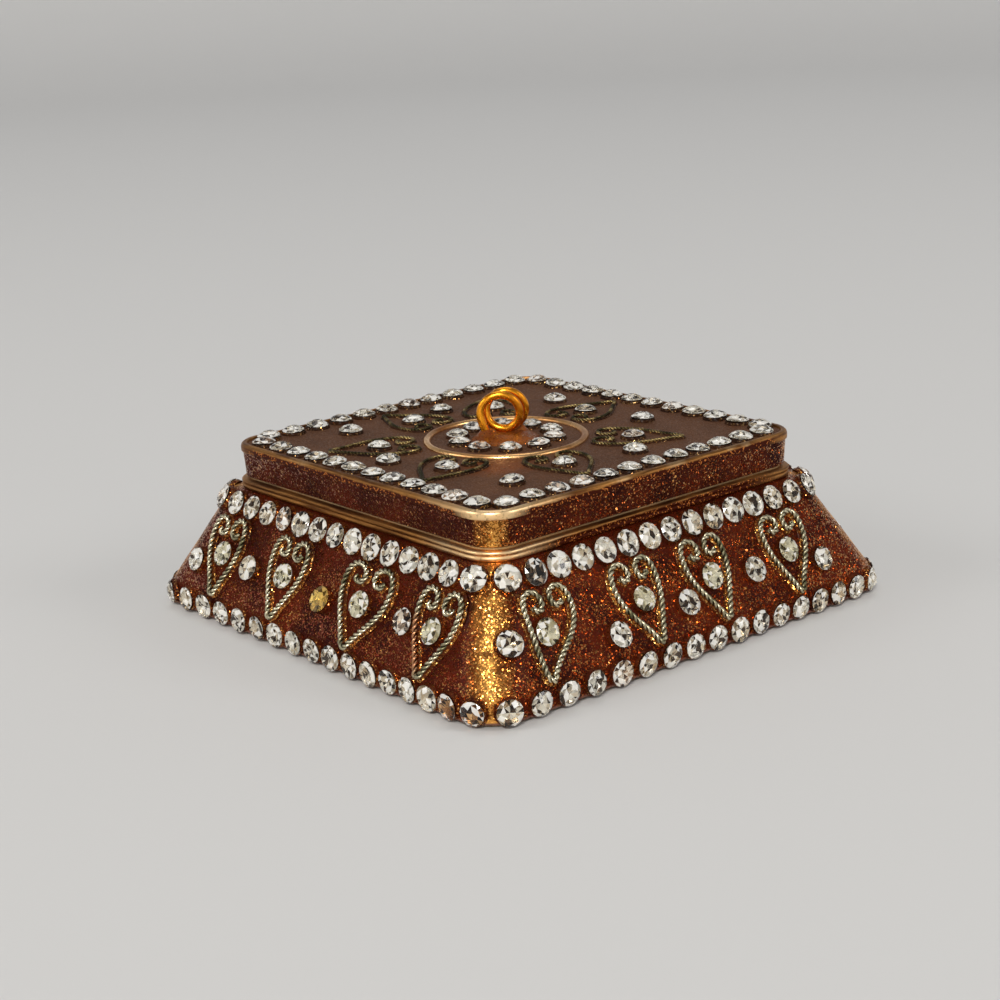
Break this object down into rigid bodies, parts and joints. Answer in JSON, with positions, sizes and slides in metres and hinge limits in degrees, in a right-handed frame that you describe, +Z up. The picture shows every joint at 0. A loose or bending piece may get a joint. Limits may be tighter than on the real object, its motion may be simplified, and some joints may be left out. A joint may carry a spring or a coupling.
{
  "type": "jewelry casket",
  "caption": "Flared square trinket casket with a lift-off lid, coated in glitter lac and set with stones and twisted-wire hearts.",
  "frame": {"origin": "middle of the flat bottom, on the surface it stands on", "axes": "+Z up, out of the mouth; the four sides face +X, +Y, -X and -Y"},
  "size_m": [0.0786, 0.0786, 0.0312],
  "materials": {
    "sheet_metal": "dull rolled sheet",
    "glitter_lac": "glossy lac full of gold and copper glitter",
    "matt_lac": "matt lac with fine glitter",
    "brass": "worn bright brass",
    "eye_brass": "bright golden wire",
    "heart_wire": "tarnished two-strand wire",
    "clear_stone": "foil-backed faceted glass",
    "amber_stone": "foil-backed amber glass"
  },
  "bodies": {
    "box": {"back_bottom_row_stones": "clear_stone", "back_heart_stones": "clear_stone", "back_heart_wire_1": "heart_wire", "back_heart_wire_2": "heart_wire", "back_heart_wire_3": "heart_wire", "back_heart_wire_4": "heart_wire", "back_single_stones": "clear_stone", "back_top_row_stones": "clear_stone", "base_plate": "sheet_metal", "body_wall": "sheet_metal", "front_amber_stone": "amber_stone", "front_bottom_row_stones": "clear_stone", "front_heart_stones": "clear_stone", "front_heart_wire_1": "heart_wire", "front_heart_wire_2": "heart_wire", "front_heart_wire_3": "heart_wire", "front_heart_wire_4": "heart_wire", "front_single_stones": "clear_stone", "front_top_row_stones": "clear_stone", "left_bottom_row_stones": "clear_stone", "left_heart_stones": "clear_stone", "left_heart_wire_1": "heart_wire", "left_heart_wire_2": "heart_wire", "left_heart_wire_3": "heart_wire", "left_heart_wire_4": "heart_wire", "left_single_stones": "clear_stone", "left_top_row_stones": "clear_stone", "locating_collar": "brass", "mouth_band": "brass", "right_bottom_row_stones": "clear_stone", "right_heart_stones": "clear_stone", "right_heart_wire_1": "heart_wire", "right_heart_wire_2": "heart_wire", "right_heart_wire_3": "heart_wire", "right_heart_wire_4": "heart_wire", "right_single_stones": "clear_stone", "right_top_row_stones": "clear_stone", "skirt_lac": "glitter_lac"},
    "lid": {"lid_back_edge_stones": "clear_stone", "lid_centre_stones": "clear_stone", "lid_edging": "brass", "lid_eye": "eye_brass", "lid_eye_seat": "glitter_lac", "lid_front_edge_stones": "clear_stone", "lid_heart_stones": "clear_stone", "lid_heart_wire_1": "heart_wire", "lid_heart_wire_2": "heart_wire", "lid_heart_wire_3": "heart_wire", "lid_heart_wire_4": "heart_wire", "lid_heart_wire_5": "heart_wire", "lid_heart_wire_6": "heart_wire", "lid_heart_wire_7": "heart_wire", "lid_left_edge_stones": "clear_stone", "lid_right_edge_stones": "clear_stone", "lid_ring": "brass", "lid_shell": "sheet_metal", "lid_side_lac": "glitter_lac", "lid_single_stones": "clear_stone", "lid_top_lac": "matt_lac"}
  },
  "joints": [
    {"name": "lid_lift", "type": "slide", "parent": "box", "child": "lid", "axis": [0, 0, 1], "range_m": [0, 0.04]}
  ]
}
